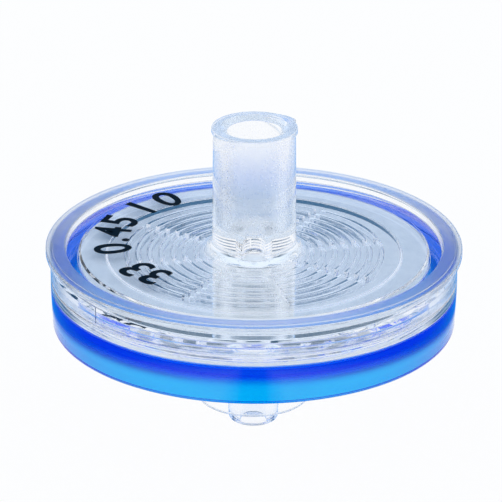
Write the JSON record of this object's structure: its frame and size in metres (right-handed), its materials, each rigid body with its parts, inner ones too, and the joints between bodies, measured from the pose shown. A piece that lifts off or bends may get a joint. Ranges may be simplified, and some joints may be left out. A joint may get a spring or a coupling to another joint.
{
  "type": "syringe filter",
  "caption": "Round clear disc filter: luer inlet tube with locking lugs above, white membrane between ribbed shells, blue ring at the outside, and a male luer tip in a locking collar below.",
  "frame": {"origin": "centre of the female luer tube's end face, where the syringe enters", "axes": "+Z along the filter's axis, out of the inlet tube towards the syringe; the first radial flow channel lies 14 degrees from +X towards +Y"},
  "size_m": [0.033, 0.033, 0.0251],
  "materials": {
    "inlet_clear": "clear glossy moulded plastic",
    "membrane_white": "matt white cellulose membrane",
    "outlet_clear": "clear glossy moulded plastic",
    "ring_blue": "translucent glossy blue plastic"
  },
  "bodies": {
    "root": {"inlet_housing": "inlet_clear", "membrane": "membrane_white", "outlet_housing": "outlet_clear", "colour_ring": "ring_blue"}
  },
  "joints": []
}
